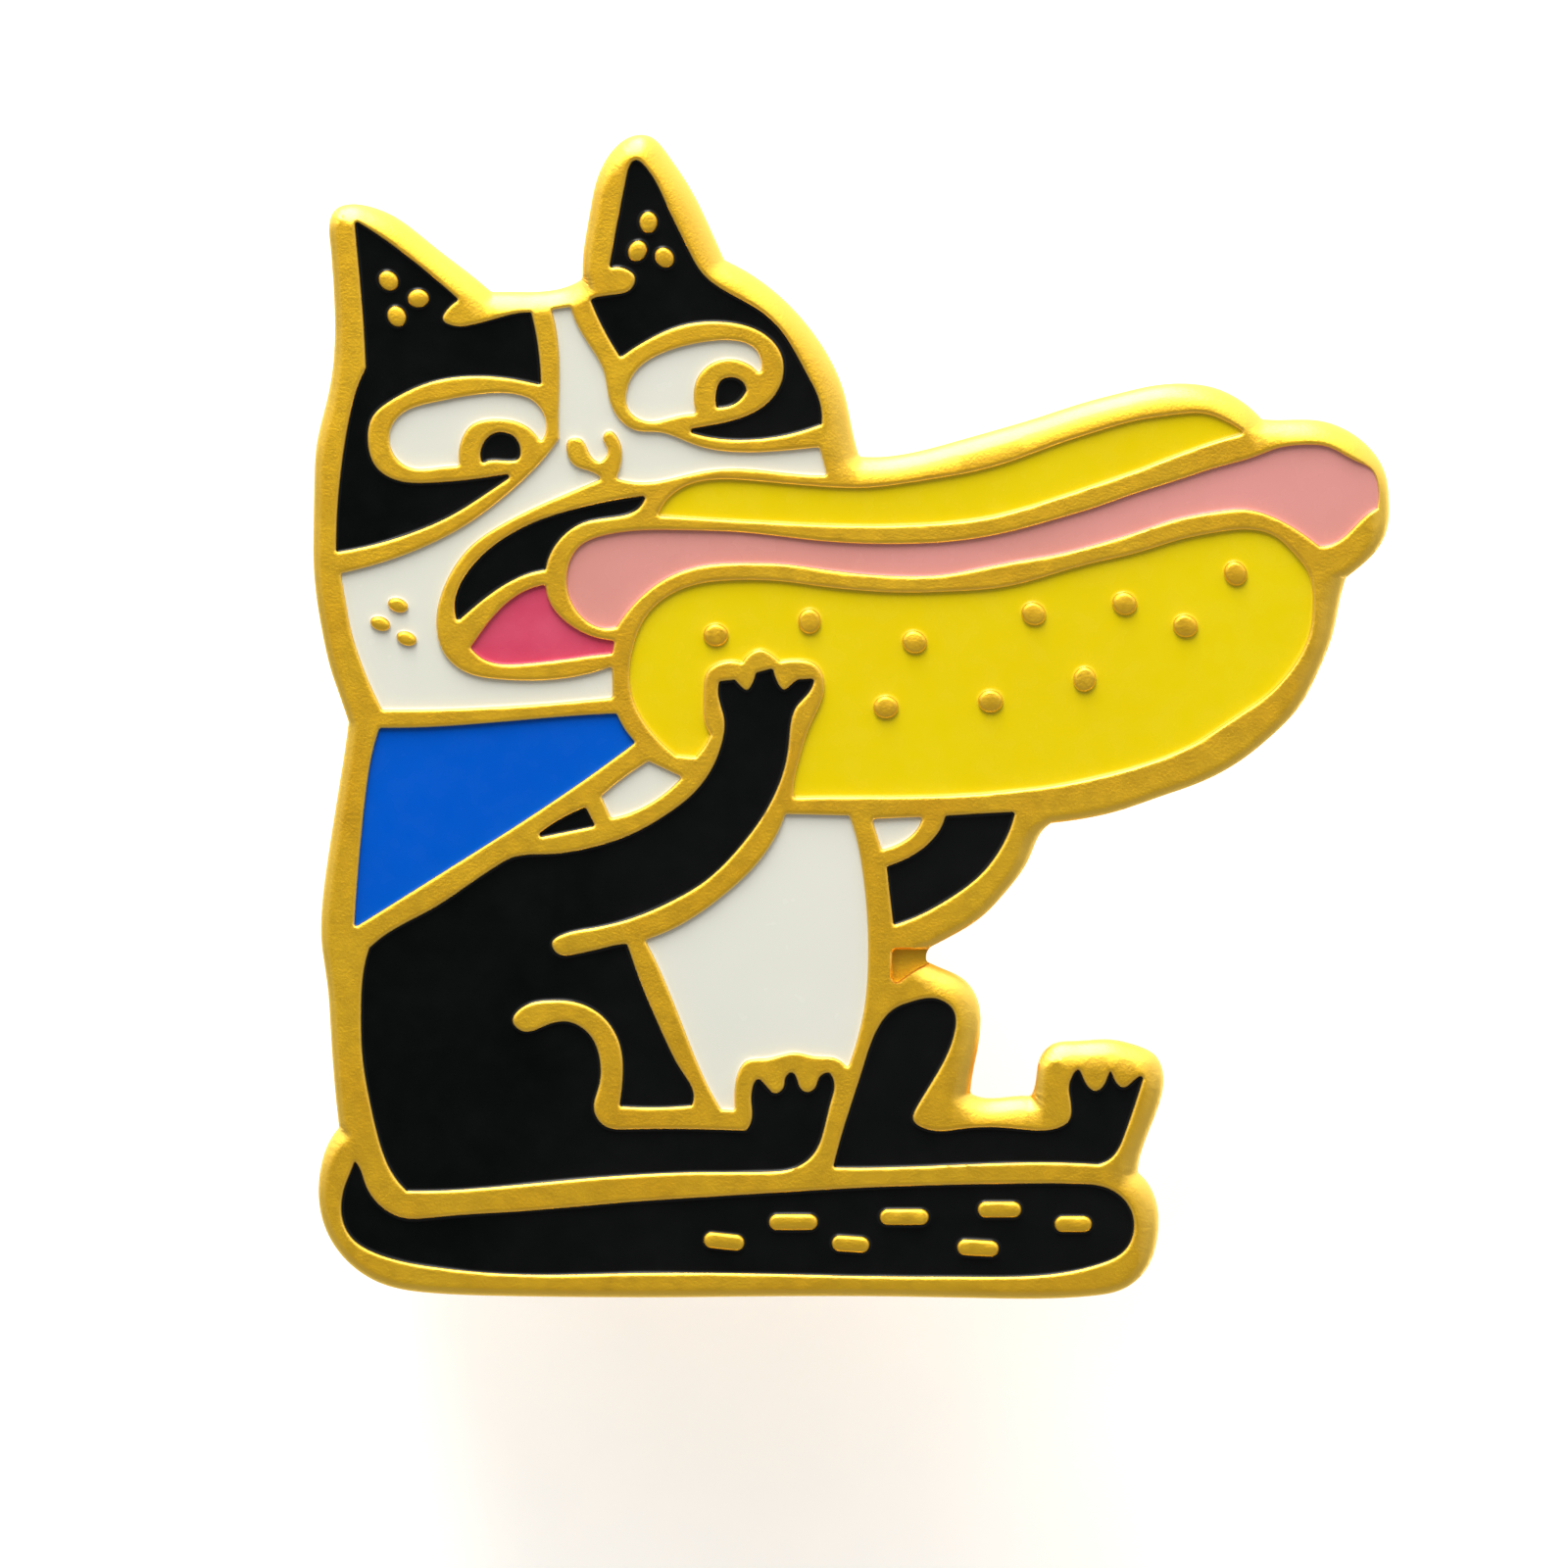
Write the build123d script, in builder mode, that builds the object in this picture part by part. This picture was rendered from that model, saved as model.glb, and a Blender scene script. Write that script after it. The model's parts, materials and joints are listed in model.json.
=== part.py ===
from build123d import *
from math import radians, sin
import os

# An enamel pin: one struck metal base whose raised lines fence in pools of enamel,
# two nail posts soldered to its back, and a butterfly clutch on each post.
# Millimetres. The back of the pin is z = 0, the enamelled face looks up (+Z), and
# the origin lies midway between the two posts.

os.makedirs("parts", exist_ok=True)

# --- Overall sizes ---------------------------------------------------------------
pin_height = 29.71          # from the lowest point of the tail to the tip of the taller ear
drawn_height = 29.71        # height at which the outlines below are laid out
art_scale = pin_height / drawn_height
art_shift = 1.60            # the outlines' own middle line stands this far right of the posts

# --- Struck base -----------------------------------------------------------------
metal_under_enamel = 0.95   # metal left below the enamel
enamel_depth = 0.40         # thickness of the enamel
enamel_recess = 0.15        # how far the enamel lies below the raised lines
base_thickness = metal_under_enamel + enamel_depth + enamel_recess
rim_round = 0.25            # rounding of the outer top edge
valley_radius = 0.12        # inside corners of the trimmed outline
cell_corner_radius = 0.06   # corners of the enamel pools
web_depth = 0.55            # sunk web between the far arm and the far leg

# --- Raised islands --------------------------------------------------------------
freckle_length = 0.56
freckle_width = 0.48
cheek_freckle_length = 0.53
cheek_freckle_width = 0.36
seed_length = 0.64
seed_width = 0.58
dash_width = 0.42

# --- Posts -----------------------------------------------------------------------
post_diameter = 1.10
post_length = 6.50          # from the back of the pin to the point
groove_start = 3.85         # from the back of the pin to the locking groove
groove_length = 0.70
groove_depth = 0.17
groove_diameter = post_diameter - 2 * groove_depth
tip_length = 1.30           # the sharpened end
tip_flat_diameter = 0.20
pad_diameter = 4.60         # nail head that is soldered on
pad_thickness = 0.35
solder_width = 0.40         # ring of solder round the pad
well_diameter = pad_diameter + 2 * solder_width

# --- Butterfly clutches ----------------------------------------------------------
# Heights marked "down" are measured from the back of the pin, away from its face.
clutch_diameter = 11.40
clutch_gap = 1.85           # between the two clutches
post_spacing = clutch_diameter + clutch_gap
sheet = 0.35                # brass sheet
squeeze_angle = 10          # how far each wing turns to let go of the post
groove_play = 0.15          # from the start of the groove to the jaws
jaw_down = groove_start + groove_play
jaw_clearance = 0.03        # between the jaws and the post's shank
jaw_split = 0.12            # between the two jaws
jaw_width = 2.60
pivot_offset = 2.40         # from the post's axis to a wing's pivot
pivot_drop = 1.25           # from the near face of the jaws to the pivots
pivot_down = jaw_down + pivot_drop
pivot_diameter = 0.70
pivot_play = 0.05           # round the pivot in its hole
jaw_gap = 0.05              # left between an opened jaw and the cup
jaw_room = pivot_offset * sin(radians(squeeze_angle)) + jaw_gap
cup_down = jaw_down - jaw_room - sheet
cup_hole_clearance = 0.90   # between the post and the cup's hole
cup_hole_diameter = post_diameter + 2 * cup_hole_clearance
cup_flat_diameter = 7.60
cup_dish = 0.30             # outside the flat the cup slopes away from the cloth
cup_lip = 0.70              # and its lip turns straight away from it
cage_length = 6.40          # along X, at the cup
cage_top_length = 6.20
cage_wall_gap = 4.60        # between the two folded-up walls
cage_past_pivot = 0.75
cage_corner = 0.60
side_play = 0.10            # wing to wall, each side
wing_width = cage_wall_gap - 2 * side_play
neck_reach = 1.90           # where the narrow jaw becomes the full wing
shoulder_reach = 3.30       # where the wing starts to widen
paddle_width = 6.00         # the part that fingers squeeze
paddle_reach = 4.40         # where the wing has its full width
paddle_corner = 1.20
knee_drop = 0.85            # from the pivots to the bend in each wing
knee_down = pivot_down + knee_drop
foot_reach = 5.40           # where the wing bends flat again
wing_reach = 6.60           # from the post's axis to the end of a wing
wing_down = 8.60            # the furthest point from the back of the pin
bend_radius = 0.45
pivot_stub = 0.10           # how far a pivot stands out of the wall


# --- Outlines --------------------------------------------------------------------
# An outline is a ring of stretches. Each stretch is a smooth curve through its
# points, and it runs to the first point of the next one, where there is a corner.
# A ring with a single stretch is smooth all the way round.

silhouette = [
    [(-8.11, 1.82), (-8.34, 2.50), (-8.59, 3.25), (-8.76, 4.00), (-8.93, 5.00), (-9.01, 6.00),
     (-8.99, 7.50), (-8.91, 9.00), (-8.67, 10.00), (-8.50, 11.00), (-8.46, 12.00),
     (-8.50, 13.00), (-8.58, 14.00), (-8.60, 14.55), (-8.43, 14.92), (-8.09, 15.04),
     (-7.60, 14.99), (-7.00, 14.76), (-6.00, 14.02), (-5.00, 13.25)],
    [(-4.46, 12.80), (-3.50, 12.80), (-2.50, 12.95)],
    [(-2.14, 13.14), (-2.12, 13.78), (-1.97, 14.73), (-1.76, 15.71), (-1.40, 16.38),
     (-0.87, 16.78), (-0.44, 16.78), (0.00, 16.36), (0.61, 15.45), (1.09, 14.49)],
    [(1.48, 13.62), (2.00, 13.35), (3.00, 12.60), (4.00, 11.39), (4.51, 10.33),
     (4.77, 9.18)],
    [(4.92, 8.60), (5.60, 8.60), (6.50, 8.75), (7.50, 9.02), (8.50, 9.31), (9.50, 9.60),
     (10.50, 9.93), (11.50, 10.20), (12.50, 10.42), (13.30, 10.46), (14.00, 10.35),
     (14.60, 10.07)],
    [(15.20, 9.55), (16.00, 9.54), (16.70, 9.51), (17.37, 9.27), (18.00, 8.77),
     (18.34, 8.20), (18.45, 7.50), (18.41, 6.80), (18.16, 6.25), (17.79, 5.86)],
    [(17.34, 5.50), (17.18, 4.87), (17.01, 4.07), (16.63, 3.10), (16.17, 2.24),
     (15.48, 1.50), (14.51, 0.74), (13.50, 0.23), (12.50, -0.12), (11.50, -0.46),
     (10.70, -0.64)],
    [(9.82, -0.76), (9.56, -1.00), (9.26, -1.65), (8.68, -2.49), (8.02, -3.17),
     (7.35, -3.60)],
    [(6.74, -3.92), (6.64, -4.10)],
    [(6.64, -4.29), (7.01, -4.46), (7.60, -4.76), (7.92, -5.21), (8.02, -5.90),
     (7.95, -6.50), (7.83, -7.10)],
    [(7.76, -7.66), (8.05, -7.77), (8.55, -7.78)],
    [(9.31, -7.74), (9.44, -7.31), (9.54, -6.78), (9.85, -6.42), (10.45, -6.33),
     (11.43, -6.30), (12.00, -6.44), (12.48, -6.69), (12.68, -7.15), (12.60, -7.85),
     (12.30, -8.65)],
    [(12.03, -9.68), (12.30, -9.97), (12.54, -10.60), (12.53, -11.35), (12.24, -12.15),
     (11.65, -12.65), (10.90, -12.82), (8.00, -12.88), (4.50, -12.83), (0.00, -12.86),
     (-4.00, -12.83), (-6.00, -12.75), (-7.34, -12.48), (-8.20, -11.88),
     (-8.68, -11.15), (-8.87, -10.35), (-8.81, -9.50), (-8.62, -8.92)],
    [(-8.35, -8.53), (-8.46, -7.50), (-8.57, -6.00), (-8.66, -4.80), (-8.80, -3.80),
     (-8.75, -2.50), (-8.54, -1.00), (-8.38, 0.00), (-8.22, 1.00)],
]

left_face_patch = [
    [(-7.95, 14.62), (-7.00, 13.99), (-6.00, 13.20)],
    [(-5.29, 12.58), (-5.62, 12.32), (-5.71, 12.08), (-5.50, 11.94), (-5.00, 11.94),
     (-4.30, 12.12)],
    [(-3.46, 12.27), (-3.33, 11.67), (-3.24, 11.00)],
    [(-3.20, 10.42), (-4.00, 10.59), (-5.00, 10.65), (-6.00, 10.50), (-7.00, 10.05),
     (-7.50, 9.62), (-7.63, 9.00), (-7.38, 8.28), (-6.80, 7.96), (-6.00, 7.92),
     (-5.00, 8.00)],
    [(-3.82, 8.18), (-4.55, 7.69), (-5.50, 7.09), (-6.50, 6.65), (-7.50, 6.34)],
    [(-8.42, 6.16), (-8.40, 7.00), (-8.31, 8.10), (-8.14, 9.27), (-7.90, 10.30)],
    [(-7.66, 10.85), (-7.72, 12.00), (-7.82, 13.20)],
]

right_face_patch = [
    [(-0.98, 15.88), (-0.76, 16.15), (-0.50, 15.93), (0.00, 15.00), (0.50, 13.97),
     (0.95, 13.22), (1.61, 12.75), (2.50, 12.22), (3.00, 11.70), (3.48, 10.86),
     (3.88, 10.05)],
    [(3.95, 9.42), (3.11, 9.16), (2.14, 9.03), (1.40, 9.05)],
    [(0.45, 9.27), (1.70, 9.51), (2.57, 9.94), (2.95, 10.50), (2.94, 11.20),
     (2.43, 11.77), (1.47, 12.03), (0.50, 11.97), (-0.44, 11.60)],
    [(-1.17, 11.13), (-1.50, 11.67)],
    [(-1.93, 12.59), (-1.30, 12.72), (-0.87, 12.90), (-0.79, 13.15), (-1.00, 13.37)],
    [(-1.46, 13.37), (-1.28, 14.35), (-1.12, 15.20)],
]

left_eye = [
    [(-5.28, 8.36), (-6.00, 8.30), (-6.60, 8.34), (-7.00, 8.75), (-7.03, 9.30),
     (-6.75, 9.68), (-6.00, 9.96), (-5.00, 10.15), (-4.00, 10.20), (-3.36, 9.98),
     (-3.08, 9.50)],
    [(-3.21, 8.96), (-3.60, 9.39), (-4.30, 9.56), (-5.00, 9.38), (-5.27, 8.90)],
]

left_pupil = [
    [(-4.68, 8.41), (-4.71, 8.82), (-4.50, 9.12)],
    [(-4.02, 9.17), (-3.74, 8.80), (-3.76, 8.57), (-4.22, 8.50)],
]

right_eye = [
    [(0.76, 9.68), (0.00, 9.56), (-0.60, 9.52), (-0.96, 9.80), (-1.00, 10.30),
     (-0.75, 10.80), (0.00, 11.27), (1.00, 11.52), (1.80, 11.54), (2.25, 11.35),
     (2.42, 11.00)],
    [(2.37, 10.70), (1.90, 11.04), (1.30, 11.04), (0.80, 10.62), (0.69, 10.10)],
]

right_pupil = [
    [(1.29, 9.85), (1.27, 10.20), (1.44, 10.56), (1.78, 10.59)],
    [(2.03, 10.27), (1.82, 10.00)],
]

muzzle = [
    [(-2.93, 12.34)],
    [(-2.45, 12.41), (-2.00, 11.48), (-1.60, 10.75), (-1.48, 10.12), (-1.20, 9.55),
     (-0.79, 9.26), (-0.19, 9.21), (0.67, 8.91), (2.00, 8.70), (3.20, 8.76)],
    [(3.90, 8.83), (4.01, 8.42)],
    [(4.09, 8.12), (3.00, 8.18), (2.00, 8.28), (0.80, 8.20), (0.00, 8.01)],
    [(-1.28, 8.04), (-1.13, 8.58), (-1.20, 9.00), (-1.48, 9.25), (-1.62, 9.10),
     (-1.50, 8.75), (-1.70, 8.47), (-1.95, 8.66), (-2.20, 9.05), (-2.47, 9.04),
     (-2.55, 8.74), (-2.30, 8.34), (-1.93, 8.21)],
    [(-1.66, 8.03), (-2.53, 7.66), (-3.50, 7.23), (-4.22, 6.85), (-5.00, 6.30),
     (-5.58, 5.49), (-5.87, 4.48), (-5.66, 3.55), (-5.10, 3.08), (-4.30, 2.91),
     (-3.20, 2.88), (-2.20, 3.00)],
    [(-1.39, 3.24)],
    [(-1.38, 2.45), (-3.00, 2.30), (-5.00, 2.18)],
    [(-7.25, 2.14), (-7.65, 3.00), (-7.89, 3.65), (-8.05, 4.20), (-8.16, 4.77)],
    [(-8.31, 5.61), (-7.00, 5.97), (-6.00, 6.37), (-5.00, 6.92), (-4.22, 7.50),
     (-3.50, 8.14), (-3.00, 8.69)],
    [(-2.74, 9.05), (-2.73, 10.30), (-2.76, 11.50)],
]

mouth = [
    [(-5.33, 4.39), (-5.39, 4.90), (-5.00, 5.73), (-4.22, 6.45), (-3.50, 6.85),
     (-2.54, 7.19), (-1.33, 7.47)],
    [(-0.53, 7.59), (-0.79, 7.22), (-1.44, 7.04), (-2.20, 6.88), (-2.78, 6.42)],
    [(-3.09, 5.71), (-3.93, 5.44), (-4.60, 5.01)],
]

tongue = [
    [(-4.99, 3.72), (-4.55, 4.34), (-3.93, 4.96)],
    [(-3.09, 5.32), (-2.97, 4.85), (-2.50, 4.32), (-2.00, 4.04)],
    [(-1.33, 3.89)],
    [(-1.39, 3.57), (-2.50, 3.43), (-3.60, 3.31), (-4.50, 3.36)],
]

top_bun = [
    [(-0.22, 7.09), (0.05, 7.52), (0.55, 7.86), (1.22, 8.00), (2.35, 7.96), (4.00, 7.82),
     (5.20, 7.80), (6.50, 7.97), (8.00, 8.24), (9.00, 8.54), (10.00, 8.91),
     (11.00, 9.23), (12.00, 9.51), (13.00, 9.66), (13.70, 9.69), (14.20, 9.53)],
    [(14.76, 9.20), (14.00, 8.98), (13.00, 8.63), (12.00, 8.24), (11.00, 7.90),
     (10.00, 7.56), (9.00, 7.24), (8.00, 7.01), (7.00, 6.90), (5.50, 6.84),
     (4.00, 6.86), (2.00, 6.96)],
]

sausage = [
    [(-1.27, 4.25), (-1.75, 4.25), (-2.33, 4.73), (-2.54, 5.45), (-2.25, 6.26),
     (-1.49, 6.60), (0.50, 6.71), (2.00, 6.65), (3.00, 6.54), (4.00, 6.43), (5.00, 6.37),
     (6.00, 6.36), (7.00, 6.40), (8.00, 6.52), (9.00, 6.73), (10.00, 7.01),
     (11.00, 7.31), (12.00, 7.66), (13.00, 7.97), (14.00, 8.30), (15.00, 8.58),
     (15.60, 8.80), (16.30, 8.89), (16.90, 8.83), (17.50, 8.52), (17.98, 8.26),
     (18.16, 7.80)],
    [(18.13, 7.27), (17.60, 6.85), (17.10, 6.41)],
    [(16.66, 6.31), (16.21, 6.65), (15.60, 7.00), (14.80, 7.24), (14.00, 7.18),
     (13.00, 6.99), (12.00, 6.66), (11.00, 6.36), (10.00, 6.10), (9.00, 5.93),
     (8.00, 5.74), (7.00, 5.57), (6.00, 5.54), (5.00, 5.60), (4.00, 5.72), (3.00, 5.85),
     (2.00, 5.88), (1.00, 5.82), (0.00, 5.49), (-0.63, 5.03)],
]

lower_bun = [
    [(0.25, 0.97), (-0.10, 1.28), (-0.54, 1.80), (-0.85, 2.42), (-0.94, 3.00),
     (-0.85, 3.72), (-0.50, 4.53), (0.00, 5.00), (0.67, 5.30), (1.60, 5.43),
     (3.00, 5.40), (4.00, 5.27), (5.00, 5.17), (6.00, 5.12), (7.00, 5.14), (8.00, 5.19),
     (9.00, 5.34), (10.00, 5.63), (11.00, 5.90), (12.00, 6.13), (13.00, 6.44),
     (14.00, 6.65), (14.80, 6.73), (15.50, 6.57), (16.00, 6.13), (16.38, 5.61),
     (16.49, 4.90), (16.38, 4.00), (16.00, 3.26), (15.37, 2.55), (14.45, 1.91),
     (13.59, 1.34), (12.44, 0.83), (11.00, 0.42), (10.00, 0.22), (9.00, 0.09),
     (8.00, -0.01), (6.00, -0.08)],
    [(3.25, -0.10), (3.28, 0.42), (3.42, 0.96), (3.58, 1.50), (3.80, 2.00), (4.00, 2.50),
     (4.00, 3.00), (3.80, 3.30), (3.45, 3.41)],
    [(2.90, 3.37), (2.66, 3.57), (2.38, 3.67), (2.12, 3.56)],
    [(1.93, 3.34), (1.45, 3.36), (1.07, 3.15), (0.94, 2.47), (0.97, 1.83)],
    [(1.13, 1.50), (0.97, 1.21)],
    [(0.74, 0.93)],
]

scarf = [
    [(-7.31, 1.66), (-5.00, 1.75), (-3.00, 1.92)],
    [(-1.28, 2.03), (-1.10, 1.68)],
    [(-0.80, 1.30), (-3.00, -0.27), (-5.50, -1.88)],
    [(-7.97, -3.43), (-7.86, -2.00), (-7.66, 0.00), (-7.50, 1.00)],
]

chest_patch = [
    [(-0.46, 0.82)],
    [(0.40, 0.42), (-0.10, -0.04), (-0.64, -0.37)],
    [(-1.41, -0.62)],
    [(-1.66, -0.07), (-1.03, 0.44)],
]

shoulder_patch = [
    [(-3.40, -1.15), (-2.70, -0.66)],
    [(-2.07, -0.36)],
    [(-1.82, -0.83)],
]

body = [
    [(-7.57, -3.95), (-7.00, -3.51), (-6.00, -2.97), (-5.00, -2.31)],
    [(-4.15, -1.75), (-3.75, -1.60), (-3.00, -1.56), (-2.00, -1.41), (-1.00, -1.10),
     (0.00, -0.55), (0.71, 0.01), (1.20, 0.69), (1.44, 1.34), (1.49, 1.85),
     (1.35, 2.42)],
    [(1.36, 2.85)],
    [(1.74, 2.89), (1.90, 2.72), (2.06, 2.63), (2.19, 2.78)],
    [(2.30, 3.07)],
    [(2.72, 3.18), (2.83, 2.82), (3.00, 2.64), (3.20, 2.78)],
    [(3.38, 2.90)],
    [(3.76, 2.92), (3.63, 2.58), (3.31, 2.21), (3.14, 1.61), (3.07, 0.96), (2.85, 0.20),
     (2.50, -0.50), (1.90, -1.32), (1.00, -2.22), (0.00, -2.81), (-1.00, -3.22),
     (-2.00, -3.45), (-2.60, -3.58), (-2.93, -3.83), (-2.80, -4.08), (-2.35, -4.12),
     (-1.70, -3.98)],
    [(-1.01, -3.85), (-0.70, -4.74), (-0.10, -6.15), (0.40, -7.12), (0.68, -7.65)],
    [(0.64, -7.96), (-0.30, -8.01)],
    [(-1.19, -7.98), (-1.10, -7.20), (-1.19, -6.37), (-1.63, -5.68), (-2.25, -5.34),
     (-3.00, -5.28), (-3.69, -5.46), (-3.93, -5.82), (-3.68, -6.07), (-3.10, -5.94),
     (-2.50, -5.84), (-1.98, -6.15), (-1.71, -6.80), (-1.74, -7.50), (-1.86, -8.05),
     (-1.60, -8.48), (-1.00, -8.58), (0.50, -8.57), (1.50, -8.60)],
    [(2.03, -8.61), (2.20, -8.20), (2.19, -7.60), (2.34, -7.30), (2.53, -7.46),
     (2.80, -7.66), (3.00, -7.50), (3.06, -7.23), (3.20, -7.13), (3.31, -7.26),
     (3.42, -7.54), (3.62, -7.63), (3.82, -7.48), (3.92, -7.24), (4.12, -7.14),
     (4.27, -7.40), (4.21, -7.78), (4.02, -8.54), (3.74, -9.21), (3.30, -9.54),
     (2.60, -9.65), (1.00, -9.66), (-1.00, -9.74), (-3.00, -9.91), (-5.00, -10.09),
     (-6.00, -10.14)],
    [(-6.62, -10.14), (-7.06, -9.56), (-7.35, -8.76), (-7.59, -7.70), (-7.72, -6.93),
     (-7.78, -5.60), (-7.70, -4.45)],
]

belly = [
    [(3.04, -0.53)],
    [(4.66, -0.57), (4.83, -1.10), (5.00, -2.00), (5.12, -3.20), (5.14, -4.30),
     (5.04, -5.50), (4.80, -6.50)],
    [(4.62, -7.02), (4.25, -6.74), (3.74, -6.70), (3.30, -6.61), (2.95, -6.66),
     (2.50, -6.76), (2.05, -6.82), (1.80, -7.20), (1.73, -7.67)],
    [(1.74, -8.08)],
    [(1.40, -8.06), (1.14, -7.61), (0.55, -6.26), (0.00, -4.87)],
    [(-0.54, -3.74), (0.50, -3.28), (1.50, -2.57), (2.23, -1.89), (2.71, -1.24)],
]

flank_patch = [
    [(5.25, -0.66)],
    [(6.53, -0.60), (6.27, -1.05), (5.90, -1.29)],
    [(5.50, -1.43)],
]

far_arm = [
    [(7.13, -0.58)],
    [(8.89, -0.48), (8.62, -1.22), (8.02, -2.06), (7.15, -2.72), (6.40, -3.13)],
    [(5.80, -3.36)],
    [(5.63, -1.87), (6.35, -1.55), (6.85, -1.12)],
]

far_leg = [
    [(4.26, -9.54), (4.56, -8.45), (4.97, -7.18), (5.40, -6.00), (5.77, -5.54),
     (6.30, -5.31), (6.95, -5.26), (7.30, -5.52), (7.33, -6.15), (6.98, -7.00),
     (6.41, -7.95), (6.29, -8.33), (6.60, -8.56), (7.60, -8.56), (9.00, -8.57),
     (9.90, -8.57), (10.28, -8.35), (10.33, -7.90), (10.32, -7.32), (10.50, -7.06),
     (10.66, -7.34), (10.95, -7.60), (11.20, -7.40), (11.33, -7.11), (11.46, -7.37),
     (11.68, -7.51), (11.90, -7.36)],
    [(12.18, -7.20), (12.00, -7.78), (11.70, -8.65), (11.42, -9.22)],
    [(11.03, -9.46), (9.50, -9.41), (7.00, -9.49)],
]

tail = [
    [(-7.93, -9.42), (-7.87, -9.50), (-7.69, -9.98), (-7.28, -10.55), (-6.65, -10.85),
     (-6.00, -10.83), (-4.00, -10.69), (-1.00, -10.44), (2.00, -10.25), (5.00, -10.07), (8.00, -9.98),
     (10.50, -9.97), (11.25, -10.08), (11.77, -10.50), (11.92, -11.05),
     (11.72, -11.62), (11.00, -12.02), (9.80, -12.27), (8.00, -12.33), (5.00, -12.31),
     (2.00, -12.24), (-1.00, -12.24), (-4.00, -12.26), (-6.00, -12.07),
     (-7.41, -11.73), (-8.02, -11.34), (-8.28, -10.70), (-8.18, -9.98), (-7.99, -9.50)],
]

web = [
    [(5.76, -3.98)],
    [(6.80, -3.98)],
    [(6.80, -4.28), (6.35, -4.50)],
    [(5.76, -4.96)],
]

# Raised ovals standing in an enamel pool: x, y, long way, short way, turn in degrees.
ovals = {
    "left_face_patch": [
        (-7.09, 13.08, freckle_length, freckle_width, -45),
        (-6.33, 12.63, freckle_length, freckle_width, 0),
        (-6.88, 12.17, freckle_length, freckle_width, -60),
    ],
    "right_face_patch": [
        (-0.46, 14.57, freckle_length, freckle_width, 90),
        (-0.74, 13.84, freckle_length, freckle_width, 60),
        (-0.05, 13.67, freckle_length, freckle_width, -50),
    ],
    "muzzle": [
        (-6.85, 4.80, cheek_freckle_length, cheek_freckle_width, -20),
        (-7.30, 4.33, cheek_freckle_length, cheek_freckle_width, -20),
        (-6.63, 3.95, cheek_freckle_length, cheek_freckle_width, -20),
    ],
    "lower_bun": [
        (1.26, 4.04, seed_length, seed_width, 0),
        (3.65, 4.39, seed_length, seed_width, 90),
        (6.33, 3.86, seed_length, seed_width, -20),
        (9.37, 4.58, seed_length, seed_width, -30),
        (11.69, 4.84, seed_length, seed_width, -20),
        (13.24, 4.27, seed_length, seed_width, -20),
        (14.52, 5.61, seed_length, seed_width, -60),
        (5.60, 2.20, seed_length, seed_width, 0),
        (8.27, 2.35, seed_length, seed_width, 0),
        (10.67, 2.91, seed_length, seed_width, 80),
    ],
}

# Raised dashes in the tail: x, y, overall length, turn in degrees.
dashes = {
    "tail": [
        (1.47, -11.43, 1.06, -6),
        (3.24, -10.94, 1.26, 0),
        (4.70, -11.50, 0.98, -4),
        (6.07, -10.81, 1.27, 0),
        (7.95, -11.60, 1.08, -3),
        (8.50, -10.62, 1.13, 0),
        (10.38, -10.99, 0.97, 0),
    ],
}

# Every enamel pool by name.
pools = {
    "left_face_patch": left_face_patch,
    "right_face_patch": right_face_patch,
    "left_eye": left_eye,
    "right_eye": right_eye,
    "left_pupil": left_pupil,
    "right_pupil": right_pupil,
    "muzzle": muzzle,
    "mouth": mouth,
    "tongue": tongue,
    "top_bun": top_bun,
    "sausage": sausage,
    "lower_bun": lower_bun,
    "scarf": scarf,
    "chest_patch": chest_patch,
    "shoulder_patch": shoulder_patch,
    "body": body,
    "belly": belly,
    "flank_patch": flank_patch,
    "far_arm": far_arm,
    "far_leg": far_leg,
    "tail": tail,
}


def placed(point):
    """A drawn point at the pin's own size, and placed beside the posts."""
    return ((point[0] + art_shift) * art_scale, point[1] * art_scale)


def outline_face(stretches, height, corner_radius):
    """A face at a height, bounded by one outline with its corners rounded."""
    with BuildSketch(Plane.XY.offset(height)) as face:
        with BuildLine():
            for stretch, following in zip(stretches, stretches[1:] + stretches[:1]):
                points = [placed(point) for point in [*stretch, following[0]]]
                if len(stretches) == 1:
                    Spline(*points[:-1], periodic=True)
                elif len(points) == 2:
                    Line(*points)
                else:
                    Spline(*points)
        make_face()
        if len(stretches) > 1:
            fillet(face.vertices(), radius=corner_radius)
    return face.sketch


def pool_face(name):
    """The floor of one enamel pool, with its raised ovals and dashes left out."""
    with BuildSketch(Plane.XY.offset(metal_under_enamel)) as face:
        add(outline_face(pools[name], 0, cell_corner_radius))
        for x, y, length, width, turn in ovals.get(name, []):
            with Locations(Location((*placed((x, y)), 0), (0, 0, turn))):
                Ellipse(length * art_scale / 2, width * art_scale / 2, mode=Mode.SUBTRACT)
        for x, y, length, turn in dashes.get(name, []):
            with Locations(Location((*placed((x, y)), 0), (0, 0, turn))):
                SlotOverall(length * art_scale, dash_width * art_scale, mode=Mode.SUBTRACT)
    return face.sketch


def section(y):
    """The upright plane across a post: drawn x runs along X and drawn y along Z."""
    return Plane(origin=(0, y, 0), x_dir=(1, 0, 0), z_dir=(0, -1, 0))


post_places = {"upper": post_spacing / 2, "lower": -post_spacing / 2}

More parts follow.
